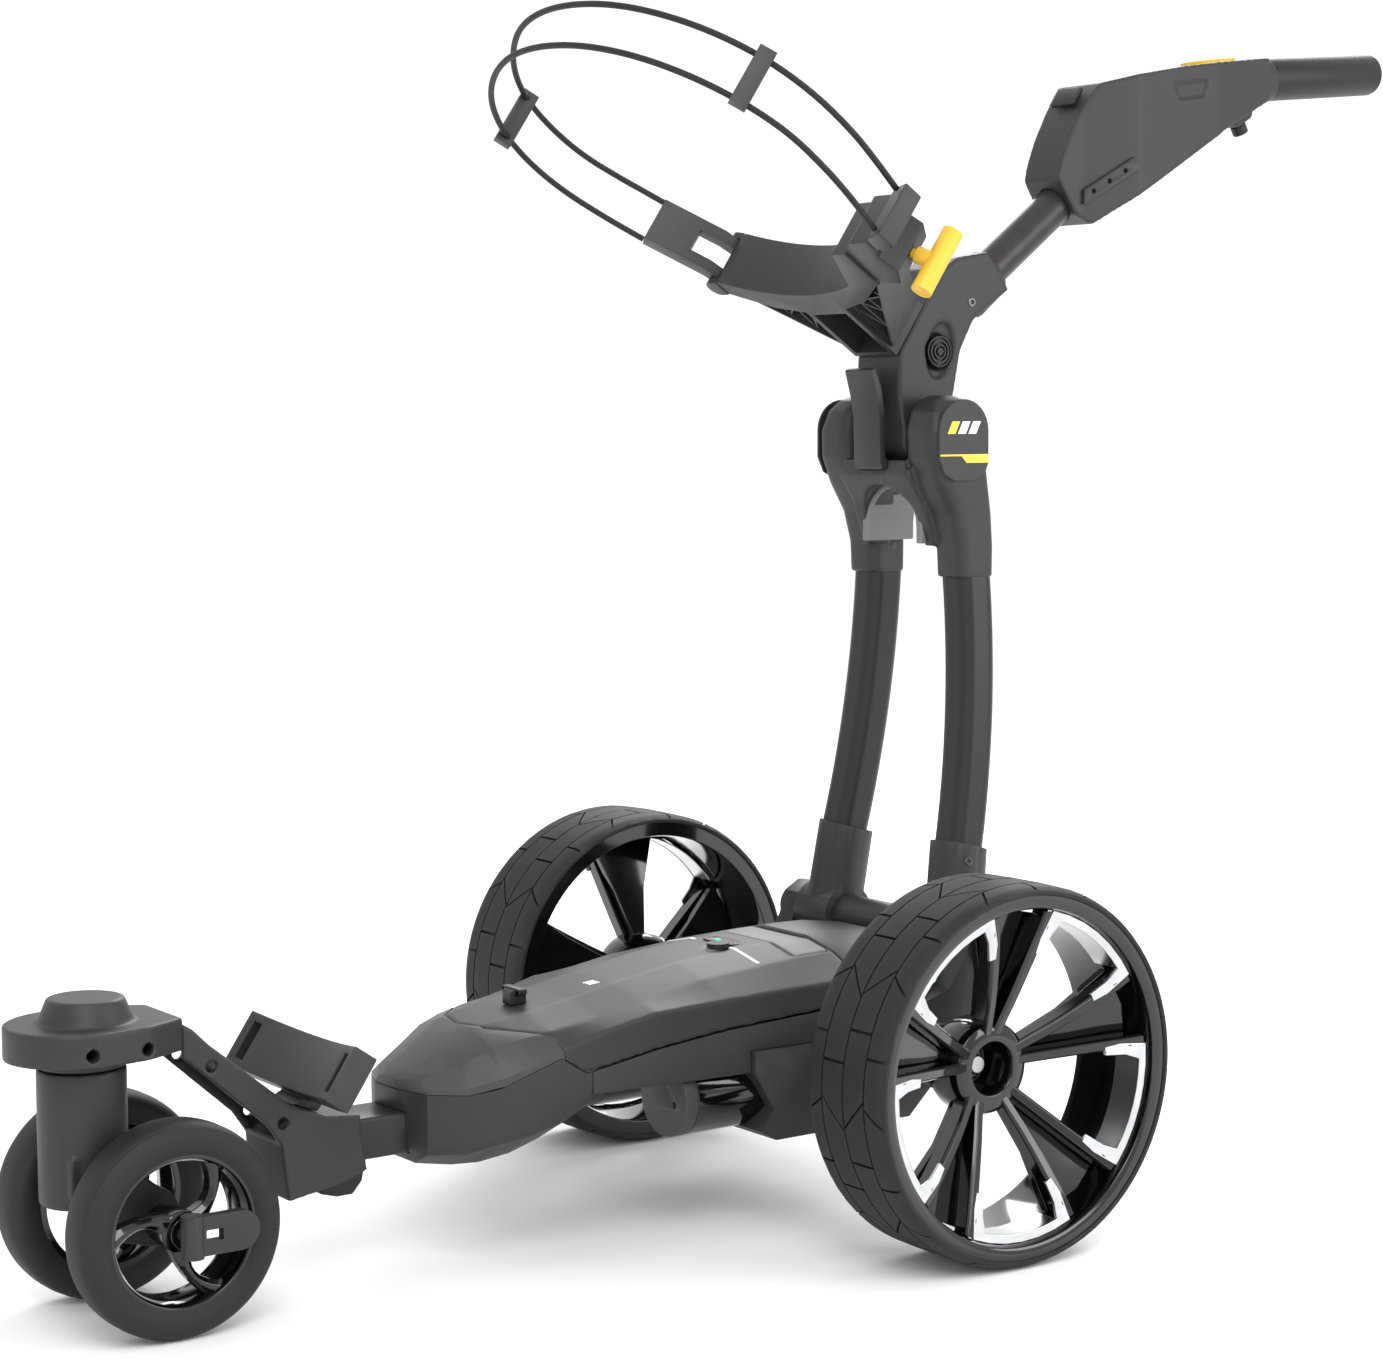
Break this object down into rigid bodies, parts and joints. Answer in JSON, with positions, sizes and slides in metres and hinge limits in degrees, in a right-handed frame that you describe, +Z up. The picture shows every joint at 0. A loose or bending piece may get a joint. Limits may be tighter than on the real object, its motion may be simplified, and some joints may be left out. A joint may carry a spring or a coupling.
{
  "type": "golf trolley",
  "caption": "Folding electric golf trolley with two spoked drive wheels, twin front castor, battery, bag cradle with elastic hoop, and a handle with a speed dial.",
  "frame": {"origin": "centre of the footprint's bounding box, on the floor", "axes": "+Z up; +Y from the front castor towards the handle, the longest extent; +X towards the left drive wheel, which is on the left hand of a person walking behind the handle"},
  "size_m": [0.5786, 1.3537, 0.9667],
  "materials": {
    "tyre": "matt rubber with moulded tread",
    "castor_tyre": "smooth matt rubber",
    "gloss_black": "gloss black",
    "charcoal": "fine grained moulding",
    "mid_grey": "fine grained moulding",
    "black_trim": "satin",
    "dark_metal": "dark satin coat",
    "steel": "turned",
    "motor_black": "gloss coat",
    "cap_grey": "satin coat",
    "cord": "braided cover",
    "yellow": "satin",
    "board": "lacquered board",
    "cells": "shrink sleeve",
    "grip": "soft grip"
  },
  "bodies": {
    "chassis": {"rear_housing": "black_trim", "axle_bearings": "steel", "drive_motors": "motor_black", "motor_caps": "cap_grey", "battery_tray": "black_trim", "nose_shell": "black_trim", "nose_cover": "mid_grey", "rear_cover": "charcoal", "controller_board": "board", "cross_tube": "dark_metal", "main_bar": "dark_metal", "front_arm": "charcoal", "lower_bag_support": "charcoal", "steering_cap": "charcoal", "steering_bearing": "steel"},
    "left_wheel": {"left_tyre": "tyre", "left_rim": "gloss_black", "left_axle": "steel"},
    "right_wheel": {"right_tyre": "tyre", "right_rim": "gloss_black", "right_axle": "steel"},
    "castor": {"castor_column": "charcoal", "castor_axle": "steel"},
    "left_castor": {"left_castor_tyre": "castor_tyre", "left_castor_rim": "gloss_black"},
    "right_castor": {"right_castor_tyre": "castor_tyre", "right_castor_rim": "gloss_black"},
    "left_castor_release": {"left_castor_lever": "charcoal"},
    "right_castor_release": {"right_castor_lever": "charcoal"},
    "arm_release": {"arm_release_lever": "black_trim"},
    "battery": {"battery_case": "charcoal", "battery_cells": "cells"},
    "battery_release": {"battery_button": "black_trim"},
    "carry_handle": {"battery_handle": "mid_grey"},
    "plug": {"power_plug": "black_trim"},
    "stem": {"stem_tubes": "dark_metal", "stem_sockets": "charcoal", "yoke": "charcoal", "fold_pin": "steel", "yoke_pad": "mid_grey", "yoke_caps": "black_trim"},
    "tongue": {"latch_tongue": "charcoal"},
    "upper": {"head_casting": "charcoal", "upper_tube": "dark_metal", "bag_cradle": "charcoal", "hoop_catch": "charcoal", "handle_housing": "charcoal", "handle_grip": "grip", "accessory_rails": "charcoal"},
    "fold_button": {"head_button": "black_trim"},
    "hoop": {"hoop_buckle": "charcoal", "hoop_cord_upper": "cord", "hoop_cord_lower": "cord", "hoop_clips": "black_trim", "hoop_hook": "charcoal"},
    "hoop_release": {"pull_handle": "yellow"},
    "dial": {"speed_dial": "yellow"},
    "dial_push": {"dial_button": "black_trim"},
    "socket_flap": {"charge_flap": "black_trim"},
    "clip_screw": {"clip_knob": "black_trim"}
  },
  "joints": [
    {"name": "left_wheel_spin", "type": "hinge", "parent": "chassis", "child": "left_wheel", "pos_m": [0, 0.0077, 0.145], "axis": [1, 0, 0], "continuous": true},
    {"name": "right_wheel_spin", "type": "hinge", "parent": "chassis", "child": "right_wheel", "pos_m": [0, 0.0077, 0.145], "axis": [1, 0, 0], "continuous": true},
    {"name": "castor_swivel", "type": "hinge", "parent": "chassis", "child": "castor", "pos_m": [0, -0.6223, 0.18], "axis": [0, 0, 1], "continuous": true},
    {"name": "left_castor_spin", "type": "hinge", "parent": "castor", "child": "left_castor", "pos_m": [0, -0.5823, 0.077], "axis": [1, 0, 0], "continuous": true},
    {"name": "right_castor_spin", "type": "hinge", "parent": "castor", "child": "right_castor", "pos_m": [0, -0.5823, 0.077], "axis": [1, 0, 0], "continuous": true},
    {"name": "left_castor_lever_turn", "type": "hinge", "parent": "left_castor", "child": "left_castor_release", "pos_m": [0.0885, -0.5823, 0.077], "axis": [0, 0, -1], "range_deg": [0, 75]},
    {"name": "right_castor_lever_turn", "type": "hinge", "parent": "right_castor", "child": "right_castor_release", "pos_m": [-0.0885, -0.5823, 0.077], "axis": [0, 0, 1], "range_deg": [0, 75]},
    {"name": "arm_release_pull", "type": "hinge", "parent": "chassis", "child": "arm_release", "pos_m": [0, -0.4423, 0.073], "axis": [-1, 0, 0], "range_deg": [0, 15], "stiffness_Nm_per_rad": 0.3, "springref_deg": -11.46},
    {"name": "battery_lift", "type": "slide", "parent": "chassis", "child": "battery", "axis": [0, 0, 1], "range_m": [0, 0.032]},
    {"name": "battery_button_push", "type": "slide", "parent": "battery", "child": "battery_release", "axis": [0, 0, -1], "range_m": [0, 0.0015], "stiffness_N_per_m": 300, "springref_m": -0.0005},
    {"name": "carry_handle_lift", "type": "hinge", "parent": "battery", "child": "carry_handle", "pos_m": [0, -0.0078, 0.215], "axis": [-1, 0, 0], "range_deg": [0, 60]},
    {"name": "power_plug_lift", "type": "slide", "parent": "battery", "child": "plug", "axis": [0, 0, 1], "range_m": [0, 0.02]},
    {"name": "stem_fold", "type": "hinge", "parent": "chassis", "child": "stem", "pos_m": [0, 0.1077, 0.212], "axis": [1, 0, 0], "range_deg": [0, 68]},
    {"name": "upper_fold", "type": "hinge", "parent": "stem", "child": "upper", "pos_m": [0, 0.1197, 0.617], "axis": [1, 0, 0], "range_deg": [-97.75, 0]},
    {"name": "latch_tongue_tip", "type": "hinge", "parent": "stem", "child": "tongue", "pos_m": [0, 0.0917, 0.5923], "axis": [1, 0, 0], "range_deg": [0, 10], "stiffness_Nm_per_rad": 2, "springref_deg": -2.86},
    {"name": "fold_button_push", "type": "slide", "parent": "upper", "child": "fold_button", "axis": [-1, 0, 0], "range_m": [0, 0.0018], "stiffness_N_per_m": 500, "springref_m": -0.0005},
    {"name": "hoop_swing", "type": "hinge", "parent": "upper", "child": "hoop", "pos_m": [-0.108, 0.02199, 0.76351], "axis": [0, -0.565, -0.8251], "range_deg": [0, 95]},
    {"name": "hoop_release_pull", "type": "slide", "parent": "upper", "child": "hoop_release", "axis": [0.8102, 0.4836, -0.3312], "range_m": [0, 0.012], "stiffness_N_per_m": 400, "springref_m": -0.004},
    {"name": "speed_dial_turn", "type": "hinge", "parent": "upper", "child": "dial", "pos_m": [0, 0.4697, 0.9376], "axis": [0, -0.1191, 0.9929], "continuous": true},
    {"name": "dial_button_push", "type": "slide", "parent": "upper", "child": "dial_push", "axis": [0, 0.1191, -0.9929], "range_m": [0, 0.0012], "stiffness_N_per_m": 500, "springref_m": -0.0005},
    {"name": "socket_flap_open", "type": "hinge", "parent": "upper", "child": "socket_flap", "pos_m": [0, 0.2943, 0.9003], "axis": [1, 0, 0], "range_deg": [0, 100]},
    {"name": "clip_screw_turn", "type": "hinge", "parent": "upper", "child": "clip_screw", "pos_m": [0, 0.5067, 0.8941], "axis": [0, 0.5026, -0.8645], "continuous": true}
  ],
  "couplings": [
    {"joint": "upper_fold", "follows": "stem_fold", "ratio": -1.4375}
  ]
}
